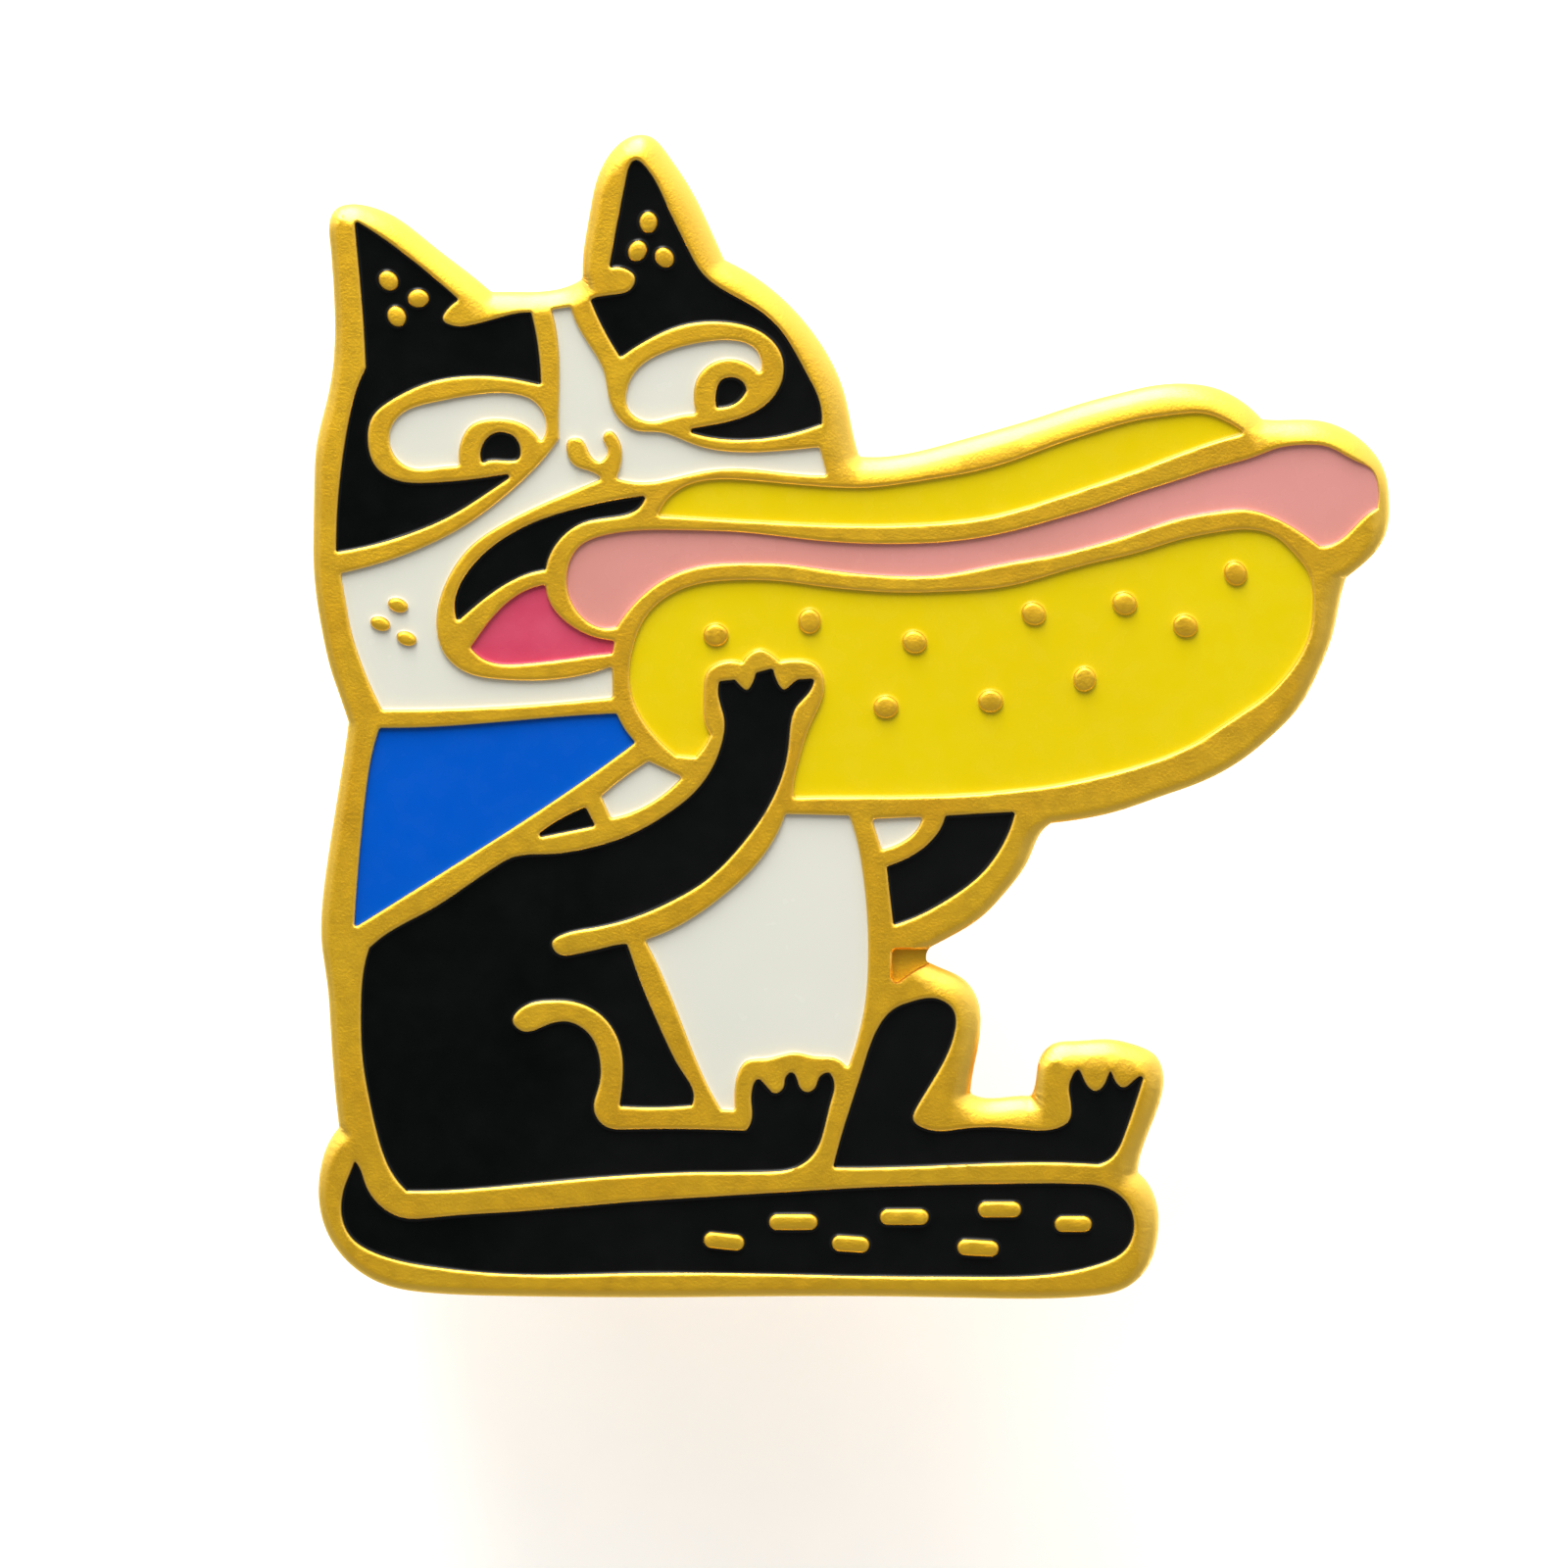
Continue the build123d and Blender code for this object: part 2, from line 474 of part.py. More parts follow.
# --- Struck base -----------------------------------------------------------------
with BuildPart() as struck_base:
    extrude(outline_face(silhouette, 0, valley_radius), amount=base_thickness)
    fillet(struck_base.faces().sort_by(Axis.Z)[-1].outer_wire().edges(), radius=rim_round)
    extrude(
        outline_face(web, base_thickness - web_depth, valley_radius),
        amount=web_depth,
        mode=Mode.SUBTRACT,
    )
    for pool in pools:
        extrude(pool_face(pool), amount=enamel_depth + enamel_recess, mode=Mode.SUBTRACT)
    with BuildSketch(Plane.XY) as wells:
        with Locations(*[(0, y) for y in post_places.values()]):
            Circle(well_diameter / 2)
    extrude(amount=pad_thickness, mode=Mode.SUBTRACT)
struck_base.part.label = "struck_base"
export_step(struck_base.part, "parts/struck_base.step")

# --- Enamel ----------------------------------------------------------------------
for pool in pools:
    with BuildPart() as enamel:
        extrude(pool_face(pool), amount=enamel_depth)
    enamel.part.label = f"enamel_{pool}"
    export_step(enamel.part, f"parts/enamel_{pool}.step")

# --- Posts and solder ------------------------------------------------------------
for place, y in post_places.items():
    with BuildPart() as post:
        with BuildSketch(section(y)):
            with BuildLine():
                Polyline(
                    (0, pad_thickness),
                    (pad_diameter / 2, pad_thickness),
                    (pad_diameter / 2, 0),
                    (post_diameter / 2, 0),
                    (post_diameter / 2, -groove_start),
                    (groove_diameter / 2, -groove_start - groove_depth),
                    (groove_diameter / 2, -groove_start - groove_length + groove_depth),
                    (post_diameter / 2, -groove_start - groove_length),
                    (post_diameter / 2, tip_length - post_length),
                    (tip_flat_diameter / 2, -post_length),
                    (0, -post_length),
                    close=True,
                )
            make_face()
        revolve(axis=Axis((0, y, 0), (0, 0, 1)))
    post.part.label = f"post_{place}"
    export_step(post.part, f"parts/post_{place}.step")

    with BuildPart() as solder:
        with BuildSketch(Plane((0, y, 0))):
            Circle(well_diameter / 2)
            Circle(pad_diameter / 2, mode=Mode.SUBTRACT)
        extrude(amount=pad_thickness)
    solder.part.label = f"solder_{place}"
    export_step(solder.part, f"parts/solder_{place}.step")

# --- Butterfly clutches ----------------------------------------------------------
for place, y in post_places.items():
    post_axis = Axis((0, y, 0), (0, 0, 1))
    with BuildPart() as cup:
        with BuildSketch(section(y)):
            with BuildLine():
                FilletPolyline(
                    (cup_hole_diameter / 2, -cup_down - sheet / 2),
                    (cup_flat_diameter / 2, -cup_down - sheet / 2),
                    ((clutch_diameter - sheet) / 2, -cup_down - sheet / 2 - cup_dish),
                    ((clutch_diameter - sheet) / 2, -cup_down - sheet / 2 - cup_dish - cup_lip),
                    radius=bend_radius,
                )
            trace(line_width=sheet)
        revolve(axis=post_axis)
        for side in (-1, 1):
            wall_y = y + side * (cage_wall_gap + sheet) / 2
            with BuildSketch(section(wall_y)) as wall:
                with BuildLine():
                    Polyline(
                        (-cage_length / 2, -cup_down - sheet / 2),
                        (cage_length / 2, -cup_down - sheet / 2),
                        (cage_top_length / 2, -pivot_down - cage_past_pivot),
                        (-cage_top_length / 2, -pivot_down - cage_past_pivot),
                        close=True,
                    )
                make_face()
                fillet(wall.vertices().group_by(Axis.Z)[0], radius=cage_corner)
                with Locations((-pivot_offset, -pivot_down), (pivot_offset, -pivot_down)):
                    Circle(pivot_diameter / 2 + pivot_play, mode=Mode.SUBTRACT)
            extrude(amount=sheet / 2, both=True)
    cup.part.label = f"clutch_{place}_cup"
    export_step(cup.part, f"parts/clutch_{place}_cup.step")

    for hand, side in (("left", -1), ("right", 1)):
        with BuildPart() as wing:
            with BuildSketch(section(y)):
                with BuildLine():
                    FilletPolyline(
                        (side * jaw_split / 2, -jaw_down - sheet / 2),
                        (side * pivot_offset, -jaw_down - sheet / 2),
                        (side * pivot_offset, -knee_down),
                        (side * foot_reach, sheet / 2 - wing_down),
                        (side * wing_reach, sheet / 2 - wing_down),
                        radius=bend_radius,
                    )
                trace(line_width=sheet)
            extrude(amount=paddle_width / 2, both=True)
            with BuildSketch(Plane((0, y, -wing_down - sheet))) as plan:
                with BuildLine():
                    Polyline(
                        (0, -jaw_width / 2),
                        (side * neck_reach, -jaw_width / 2),
                        (side * neck_reach, -wing_width / 2),
                        (side * shoulder_reach, -wing_width / 2),
                        (side * paddle_reach, -paddle_width / 2),
                        (side * wing_reach, -paddle_width / 2),
                        (side * wing_reach, paddle_width / 2),
                        (side * paddle_reach, paddle_width / 2),
                        (side * shoulder_reach, wing_width / 2),
                        (side * neck_reach, wing_width / 2),
                        (side * neck_reach, jaw_width / 2),
                        (0, jaw_width / 2),
                        close=True,
                    )
                make_face()
                fillet(plan.vertices().group_by(Axis.X)[-1 if side > 0 else 0], radius=paddle_corner)
            extrude(amount=wing_down, mode=Mode.INTERSECT)
            with BuildSketch(Plane((0, y, 0))):
                Circle(post_diameter / 2 + jaw_clearance)
            extrude(amount=-wing_down, mode=Mode.SUBTRACT)
            with BuildSketch(section(y)):
                with Locations((side * pivot_offset, -pivot_down)):
                    Circle(pivot_diameter / 2)
            extrude(amount=cage_wall_gap / 2 + sheet + pivot_stub, both=True)
        wing.part.label = f"clutch_{place}_wing_{hand}"
        export_step(wing.part, f"parts/clutch_{place}_wing_{hand}.step")
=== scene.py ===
# %% [markdown]
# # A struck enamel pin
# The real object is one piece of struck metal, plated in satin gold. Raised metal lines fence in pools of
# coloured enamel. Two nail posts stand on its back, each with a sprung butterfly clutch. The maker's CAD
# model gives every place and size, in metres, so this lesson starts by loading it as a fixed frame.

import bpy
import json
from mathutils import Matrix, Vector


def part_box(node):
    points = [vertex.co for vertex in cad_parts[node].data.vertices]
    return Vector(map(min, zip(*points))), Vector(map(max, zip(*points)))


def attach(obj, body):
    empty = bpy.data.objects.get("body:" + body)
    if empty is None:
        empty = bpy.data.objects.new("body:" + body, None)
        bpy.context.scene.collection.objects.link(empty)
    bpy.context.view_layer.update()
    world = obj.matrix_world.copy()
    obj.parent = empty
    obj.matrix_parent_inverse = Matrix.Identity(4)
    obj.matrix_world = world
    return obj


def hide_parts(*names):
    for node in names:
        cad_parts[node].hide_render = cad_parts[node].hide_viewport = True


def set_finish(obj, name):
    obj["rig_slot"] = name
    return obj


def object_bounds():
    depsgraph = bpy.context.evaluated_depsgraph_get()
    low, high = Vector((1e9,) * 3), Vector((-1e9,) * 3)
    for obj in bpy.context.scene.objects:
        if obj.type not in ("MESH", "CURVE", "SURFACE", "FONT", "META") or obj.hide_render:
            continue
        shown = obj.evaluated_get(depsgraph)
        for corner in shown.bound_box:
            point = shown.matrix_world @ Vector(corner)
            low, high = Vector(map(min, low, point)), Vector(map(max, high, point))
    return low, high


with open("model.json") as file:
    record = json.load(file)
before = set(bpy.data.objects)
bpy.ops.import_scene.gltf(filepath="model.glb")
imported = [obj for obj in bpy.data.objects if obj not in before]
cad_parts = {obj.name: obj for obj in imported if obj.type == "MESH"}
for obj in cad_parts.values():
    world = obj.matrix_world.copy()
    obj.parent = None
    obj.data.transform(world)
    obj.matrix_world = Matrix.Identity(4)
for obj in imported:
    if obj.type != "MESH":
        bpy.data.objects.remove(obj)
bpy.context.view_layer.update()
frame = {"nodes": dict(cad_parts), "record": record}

# %% Tools
import json
import math

import bmesh
import bpy
import numpy as np
from mathutils import Vector, noise
from mathutils.bvhtree import BVHTree
from mathutils.geometry import delaunay_2d_cdt

mm = 0.001
nodes = frame["nodes"]
base_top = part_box("struck_base")[1].z / mm
enamel_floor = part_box("enamel_body")[0].z / mm
enamel_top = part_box("enamel_body")[1].z / mm
pad_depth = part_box("solder_upper")[1].z / mm
print("metal top", round(base_top, 3), "enamel", round(enamel_floor, 3), "to", round(enamel_top, 3))

# %% [markdown]
# ## Reading an outline from the frame
# The frame's meshes hold the outlines as short straight runs between points that lie
# exactly on the curve. Typing the outlines in again would double every number, so the
# closed rings are read from the mesh: the open edges of a chosen group of faces, walked
# in order. A Catmull-Rom curve through the points then gives a smooth ring of any
# fineness. The centripetal kind is used because it never loops where long and short runs
# meet.

# %% Rings of a group of faces
# How near counts as the same: for points in metres, and for levels in mm.
same_point = 1e-7
same_level = 0.002


def rings_of(node, chosen):
    """Closed outlines, as lists of points in mm, of the faces that chosen picks."""
    shape = bmesh.new()
    shape.from_mesh(nodes[node].data)
    bmesh.ops.remove_doubles(shape, verts=shape.verts, dist=same_point)
    shape.normal_update()
    group = {face for face in shape.faces if chosen(face)}
    following = {}
    for face in group:
        for corner in face.loops:
            if not any(other in group and other is not face for other in corner.edge.link_faces):
                following[corner.vert] = corner.link_loop_next.vert
    rings = []
    while following:
        start, vert = next(iter(following.items()))
        ring = [start]
        del following[start]
        while vert is not start:
            ring.append(vert)
            vert = following.pop(vert)
        rings.append(np.array([tuple(v.co / mm) for v in ring]))
    shape.free()
    return rings


def level(height):
    """Picks the flat faces that lie at a height, in mm."""
    return lambda face: all(abs(v.co.z / mm - height) < same_level for v in face.verts)


# %% A smooth ring through the frame's points
def knot_gap(start, end):
    """The centripetal spacing of two points: the root of their distance."""
    return max(math.sqrt(np.linalg.norm(end[:2] - start[:2])), 1e-4)


def smoothed(ring, step):
    """The same closed ring with points about a step apart, on a smooth curve."""
    fine = []
    count = len(ring)
    for i in range(count):
        a, b, c, d = (ring[(i + k) % count] for k in (-1, 0, 1, 2))
        ab, bc, cd = knot_gap(a, b), knot_gap(b, c), knot_gap(c, d)
        ahead = (b - a) / ab - (c - a) / (ab + bc) + (c - b) / bc
        behind = (c - b) / bc - (d - b) / (bc + cd) + (d - c) / cd
        pieces = max(1, math.ceil(np.linalg.norm((c - b)[:2]) / step))
        for k in range(pieces):
            t = k / pieces
            fine.append(
                (2 * t**3 - 3 * t**2 + 1) * b
                + (t**3 - 2 * t**2 + t) * ahead * bc
                + (3 * t**2 - 2 * t**3) * c
                + (t**3 - t**2) * behind * bc
            )
    return np.array(fine)


# %% [markdown]
# ## A plate with a shaped face
# Both the metal and each pool of enamel are plates with straight sides and a top whose
# height depends only on how far a point is from the edge. So one helper makes them all.
# It lays rings of points at set distances inside the outline, joins them with a
# constrained Delaunay triangulation, and asks a formula for each point's height. Points
# that come too near another edge are left out, so narrow lines stay clean.

# %% Distances to an outline
def fence(rings):
    """A search tree of upright strips on the rings, to find the nearest edge of a point."""
    corners, strips = [], []
    for ring in rings:
        first = len(corners)
        corners += [(x, y, z) for x, y in ring[:, :2] for z in (-1, 1)]
        count = len(ring)
        for i in range(count):
            j = (i + 1) % count
            strips.append((first + 2 * i, first + 2 * j, first + 2 * j + 1, first + 2 * i + 1))
    return BVHTree.FromPolygons(corners, strips)


def distance(tree, point):
    """How far a point is from the nearest ring of a fence, in mm."""
    return tree.find_nearest((point[0], point[1], 0))[3]


def quarter(width, steps=5):
    """Distances at which a rounded edge needs points, closer together near the edge."""
    return [width * (1 - math.cos(k * math.pi / 2 / steps)) for k in range(1, steps + 1)]


def round_off(distance_in, width, drop):
    """How much lower a rounded edge is than the flat beside it."""
    x = 1 - min(max(distance_in / width, 0), 1)
    return drop * (1 - math.sqrt(1 - x * x))


def lean_off(distance_in, width, lean):
    """The same for an arc that only leans over to an angle (degrees) at the edge."""
    radius = width / math.sin(math.radians(lean))
    x = max(width - distance_in, 0)
    return radius - math.sqrt(radius * radius - x * x)


# %% Triangles inside an outline
def triangles(points, edges):
    """Triangles between points, kept where the fences (pairs of points) close round them."""
    made, sides, faces, _, origins, _ = delaunay_2d_cdt(points, edges, [], 0, 1e-6, True)
    fences = {tuple(sorted(side)) for side, origin in zip(sides, origins) if len(set(origin)) % 2}
    owners = {}
    for number, face in enumerate(faces):
        for i in range(3):
            owners.setdefault(tuple(sorted((face[i], face[(i + 1) % 3]))), []).append(number)
    inside = {}
    queue = []
    for side, found in owners.items():
        if len(found) == 1 and found[0] not in inside:
            inside[found[0]] = side in fences
            queue.append(found[0])
    while queue:
        number = queue.pop()
        face = faces[number]
        for i in range(3):
            side = tuple(sorted((face[i], face[(i + 1) % 3])))
            for other in owners[side]:
                if other not in inside:
                    inside[other] = inside[number] != (side in fences)
                    queue.append(other)
    return made, [face for number, face in enumerate(faces) if inside[number]]


def around(rings):
    """The rings as one list of flat points and the pairs that follow each other."""
    points, edges = [], []
    for ring in rings:
        first, count = len(points), len(ring)
        points += [Vector((float(p[0]), float(p[1]))) for p in ring]
        edges += [(first + i, first + (i + 1) % count) for i in range(count)]
    return points, edges


# %% Points inside an outline
# A point is kept if no edge is nearer than this share of the distance to its own edge.
clear_share = 0.96


def leftward(ring):
    """The direction to the left of a ring's walk at each point. Plates lie on that side."""
    along = np.roll(ring, -1, axis=0)[:, :2] - np.roll(ring, 1, axis=0)[:, :2]
    along /= np.maximum(np.linalg.norm(along, axis=1), 1e-9)[:, None]
    return np.stack([-along[:, 1], along[:, 0]], axis=1)


def inner_points(rings, distances, walls):
    """Points at set distances inside the rings, where no other edge is nearer."""
    found = []
    for ring, steps in zip(rings, distances):
        inward = leftward(ring)
        for step in steps:
            for point in ring[:, :2] + inward * step:
                if distance(walls, point) > clear_share * step:
                    found.append(Vector((float(point[0]), float(point[1]))))
    return found


# %% A plate from an outline
def face_on(shape, points, edges, height, up):
    """Adds one face of a plate to a bmesh. Gives its flat points, verts and outer sides."""
    made, faces = triangles(points, edges)
    verts = [shape.verts.new((p.x * mm, p.y * mm, height(p) * mm)) for p in made]
    count = {}
    for face in faces:
        shape.faces.new([verts[i] for i in (face if up else face[::-1])])
        for i in range(3):
            side = (face[i], face[(i + 1) % 3])
            count[side] = count.get(side, 0) + 1
    outer = [side for side in count if (side[1], side[0]) not in count]
    return made, verts, outer


def spot(point):
    """A flat point as a key, so that the two faces of a plate can be matched."""
    return round(point.x, 5), round(point.y, 5)


def plate(shape, rings, top, bottom, distances, more=(), upside_down=False):
    """Adds a closed plate to a bmesh: one shaped face, straight sides and one flat face."""
    walls = fence(rings)
    points, edges = around(rings)
    points += inner_points(rings, distances, walls) + list(more)
    made, above, outer = face_on(shape, points, edges, top, not upside_down)
    rim_numbers = sorted({i for side in outer for i in side})
    short = {number: i for i, number in enumerate(rim_numbers)}
    flat, below, _ = face_on(
        shape,
        [made[i] for i in rim_numbers],
        [(short[a], short[b]) for a, b in outer],
        lambda point: bottom,
        upside_down,
    )
    lookup = {spot(point): vert for point, vert in zip(flat, below)}
    partner = {i: lookup[spot(made[i])] for i in rim_numbers}
    for a, b in outer:
        shape.faces.new([above[b], above[a], partner[a], partner[b]])


# %% A piece from a plate
sharp_corner = 40


def finished(shape, name, body, slot, replaced):
    """Turns a bmesh into a piece that rides on a body and stands for CAD nodes."""
    bmesh.ops.delete(shape, geom=[v for v in shape.verts if not v.link_faces], context="VERTS")
    bmesh.ops.recalc_face_normals(shape, faces=shape.faces)
    mesh = bpy.data.meshes.new(name)
    shape.to_mesh(mesh)
    shape.free()
    mesh.shade_smooth()
    mesh.set_sharp_from_angle(angle=math.radians(sharp_corner))
    piece = bpy.data.objects.new(name, mesh)
    bpy.context.scene.collection.objects.link(piece)
    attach(piece, body)
    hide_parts(*replaced)
    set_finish(piece, slot)
    return piece


# %% [markdown]
# ## The struck metal
# A die strikes the raised lines, and tumbling rounds their edges: narrowly beside each
# pool, and more widely on the outer edge. The rounding isn't quite even, because the
# plating and the polishing aren't, and that is what makes the thin bright line beside
# each pool waver. A bevel modifier could round the frame's mesh, but the lines are only a
# few tenths of a millimetre wide and its corners would tangle, so the top is laid out by
# distance from the edges.
#
# The metal is three plates on one another: the raised lines, the sheet under the enamel,
# and the back, with a well for each solder pad.

# %% Rings of the metal
ring_step = 0.09


def across(ring):
    """The larger side of a ring's box, in mm."""
    return max(np.ptp(ring[:, 0]), np.ptp(ring[:, 1]))


def turning(ring):
    """Twice the area of a ring, positive where it runs anticlockwise."""
    x, y = ring[:, 0], ring[:, 1]
    return float(np.sum(x * np.roll(y, -1) - np.roll(x, -1) * y))


back_rings = sorted(rings_of("struck_base", level(0)), key=across, reverse=True)
silhouette = smoothed(back_rings[0][::-1], ring_step)
wells = [smoothed(ring[::-1], ring_step) for ring in back_rings[1:]]
rim_tree = fence([silhouette])
pool_outlines = {
    node: [smoothed(ring, ring_step) for ring in rings_of(node, level(enamel_top))]
    for node in sorted(nodes)
    if node.startswith("enamel_")
}
every_outline = [ring for rings in pool_outlines.values() for ring in rings]
pools = [ring[::-1] for ring in every_outline if turning(ring) > 0]
islands = [ring[::-1] for ring in every_outline if turning(ring) < 0]
print("pools", len(pools), "islands", len(islands), "wells", len(wells))

# %% [markdown]
# Between the far arm and the far leg the metal is struck low, and that sunk web runs out
# to the pin's own edge. The raised metal's outline has to turn inwards there, so the
# stretch of outline along the web is swapped for the web's inner side.

# %% The sunk web
on_rim = 0.02
off_rim = 0.03


def nearest_to(outline, point):
    """The number of the outline's point that is nearest to a point."""
    return int(np.argmin(np.linalg.norm(outline[:, :2] - point[:2], axis=1)))


def detour(outline, web):
    """The outline led round the inner side of a web, and that inner side."""
    inside = [distance(rim_tree, p) > off_rim for p in web]
    start = next(i for i in range(len(web)) if inside[i] and not inside[i - 1])
    walk = [(start + i) % len(web) for i in range(len(web))]
    inner = [web[i] for i in walk if inside[i]]
    ends = [nearest_to(outline, inner[0]), nearest_to(outline, inner[-1])]
    count = len(outline)
    if (ends[1] - ends[0]) % count > count / 2:
        ends, inner = ends[::-1], inner[::-1]
    kept = [outline[(ends[1] + i) % count] for i in range((ends[0] - ends[1]) % count + 1)]
    return np.array(kept + inner), np.array(inner)


raised_outline = silhouette
web_sides = []
for ring in rings_of("struck_base", level(enamel_floor)):
    if any(distance(rim_tree, p) < on_rim for p in ring):
        raised_outline, side = detour(raised_outline, smoothed(ring, ring_step))
        web_sides.append(np.concatenate([side, side[-2:0:-1]]))
print("webs", len(web_sides))

# %% [markdown]
# ## A rounding that changes along the rim
# The outer rounding is wide where the edge faces the ears and narrow on the tail side. One
# width all round would be simpler, but it would make the bright band on the rim equally
# wide everywhere. So the width is worked out from the way that the nearest stretch of the
# rim faces, and it eases from narrow to wide. The rounding leans over to a set angle and
# stops there, where a full quarter circle would end in a wall and look like a bead.

# %% Sizes of the roundings
outer_round = 0.60
trimmed_round = 0.20
outer_lean = 54
lip_round = 0.07
lip_drop = 0.07
island_round = 0.10
island_drop = lip_drop * 1.3
flat_waver = 0.004
towards_ears = (0.45, 0.9)
faces_tail, faces_ears = -0.6, 0.8
pool_tree, island_tree = fence(pools + web_sides), fence(islands)
print("outer rounding", trimmed_round, "to", outer_round, "mm, lips", lip_round, "mm")


# %% Height of the metal
def waver(point, size, seed):
    """Smooth noise from -1 to 1 that changes over about a size in mm."""
    return noise.noise(Vector((point[0] / size, point[1] / size, seed)))


def rim_width(point):
    """How wide the outer rounding is: wide towards the ears, narrow on the tail side."""
    outward = rim_tree.find_nearest((point[0], point[1], 0))[1]
    facing = outward.x * towards_ears[0] + outward.y * towards_ears[1]
    share = min(max((facing - faces_tail) / (faces_ears - faces_tail), 0), 1)
    eased = share**2 * (3 - 2 * share)
    return trimmed_round + (outer_round - trimmed_round) * eased


def metal_height(point):
    """Height of the struck face in mm: flat lines with rounded edges."""
    uneven = 1 + 0.30 * waver(point, 0.9, 3.1) + 0.32 * waver(point, 0.30, 7.7)
    return (
        base_top
        - lean_off(distance(rim_tree, point), rim_width(point), outer_lean)
        - round_off(distance(pool_tree, point), lip_round * uneven, lip_drop)
        - round_off(distance(island_tree, point), island_round * uneven, island_drop)
        - flat_waver
        + flat_waver * waver(point, 2.1, 1.4)
    )


# %% Build the metal
back_round = 0.14
back_drop = 0.11
line_middle = 0.12
narrow_steps = [trimmed_round * k / 4 for k in range(1, 5)]
wide_steps = [trimmed_round + (outer_round - trimmed_round) * k / 5 for k in range(1, 6)]
pool_steps = quarter(lip_round, 3) + [line_middle]
island_steps = quarter(island_round, 4)
metal = bmesh.new()
plate(
    metal,
    [raised_outline] + pools + islands,
    metal_height,
    enamel_floor,
    [narrow_steps + wide_steps] + [pool_steps] * len(pools) + [island_steps] * len(islands),
)
plate(metal, [silhouette], lambda point: enamel_floor, pad_depth, [[]])
plate(
    metal,
    [silhouette] + wells,
    lambda point: round_off(distance(rim_tree, point), back_round, back_drop),
    pad_depth,
    [quarter(back_round, 4)] + [[]] * len(wells),
    upside_down=True,
)
struck_metal = finished(metal, "struck_metal", "pin", "gold_plating", ["struck_base"])
print("struck metal:", len(struck_metal.data.polygons), "faces")

# %% [markdown]
# ## Rounded edges painted paler: a painted highlight
# The rounded outer edge, and the narrow lip beside each pool, are painted a paler, creamier gold than the
# flats. This is a painted highlight, standing in for the near-white sheen that those edges catch. The
# mesh carries it as a number at each point, 1 at an edge and 0 where its rounding ends, which the gold's
# colour reads later. A painted mask could do the same, but a number worked out from the same distances as
# the shape always lines up with it.

# %% Mark the painted edge highlight
face_from = enamel_floor + 0.01
# Marks where the gold gets a painted highlight, a paler gold: the rounded outer edge and the lips beside
# the pools.
painted_edge_highlight = struck_metal.data.attributes.new("painted_edge_highlight", "FLOAT", "POINT")
for vert, mark in zip(struck_metal.data.vertices, painted_edge_highlight.data):
    place = vert.co / mm
    if place.z > face_from:
        by_rim = 1 - distance(rim_tree, place) / rim_width(place)
        by_pool = 1 - distance(pool_tree, place) / lip_round
        mark.value = max(by_rim, by_pool, 0)
print("rubbed points:", sum(mark.value > 0 for mark in painted_edge_highlight.data), "of", len(painted_edge_highlight.data))

# %% [markdown]
# ## The enamel
# Enamel goes in as a thick liquid and is baked hard. It clings a little way up the metal
# as it sets, so each pool has a narrow upturned edge and a very slightly uneven surface
# between. Both show only in reflections. Each pool is its own plate, so each colour can
# have its own finish, and its sides start a hair inside the metal so no gap shows. Its
# face is tucked a little below the frame's, so that the upturned edge ends about level
# with it.

# %% Sizes of an enamel's edge
climb_width = 0.10
climb = 0.022
climb_curve = 2.2
climb_steps = [0.02, 0.045, 0.07, climb_width]
hair = 0.012
tuck = 0.02
face_gap = 0.45
face_clear = climb_width * 1.3
broad_swell, fine_swell = 0.010, 0.004
print("enamel climbs", climb, "mm over", climb_width, "mm")


# %% Build the enamels
def widened(ring, amount):
    """The ring moved outwards by a small amount."""
    moved = ring.copy()
    moved[:, :2] -= leftward(ring) * amount
    return moved


def between(ring, gap):
    """Evenly staggered points over a ring's box."""
    low, high = ring[:, :2].min(0), ring[:, :2].max(0)
    rows = np.arange(low[1], high[1], gap * 0.87)
    return [
        Vector((float(x + gap / 2 * (row % 2)), float(y)))
        for row, y in enumerate(rows)
        for x in np.arange(low[0], high[0], gap)
    ]


def enamel_piece(node):
    """One pool of enamel with an upturned edge and a gently uneven face."""
    rings = [widened(ring, hair) for ring in pool_outlines[node]]
    tree = fence(rings)
    seed = sum(map(ord, node)) % 97

    def face_height(point):
        edge = 1 - min(distance(tree, point) / climb_width, 1)
        swell = broad_swell * waver(point, 2.6, seed) + fine_swell * waver(point, 0.9, seed + 5)
        return enamel_top - tuck + climb * edge**climb_curve + swell * (1 - edge)

    spread = between(max(rings, key=len), face_gap)
    more = [point for point in spread if distance(tree, point) > face_clear]
    shape = bmesh.new()
    plate(shape, rings, face_height, enamel_floor, [climb_steps] * len(rings), more=more)
    slot = next(part["material_slot"] for part in frame["record"]["subparts"] if part["node"] == node)
    return finished(shape, node.replace("enamel_", "pool_"), "pin", slot, [node])


enamels = {node: enamel_piece(node) for node in pool_outlines}
print("enamels:", len(enamels), "faces:", sum(len(piece.data.polygons) for piece in enamels.values()))

# %% [markdown]
# ## Finishes
# Every finish is made of nodes, with its grain in real sizes. Object coordinates are in
# metres, so a noise scale of 1000 gives features about a millimetre across.

# %% Colours as a chart gives them
def tone(red, green, blue):
    """A colour chart's 0 to 255 values as the linear numbers that a shader needs."""
    linear = []
    for value in (red, green, blue):
        share = value / 255
        linear.append(share / 12.92 if value <= 10 else ((share + 0.055) / 1.055) ** 2.4)
    return (*linear, 1)


# %% A finish made of nodes
def set_range(node, low, high, to_low, to_high):
    """Fills in the four numbers of a Map Range node."""
    for key, number in (("From Min", low), ("From Max", high), ("To Min", to_low), ("To Max", to_high)):
        node.inputs[key].default_value = number


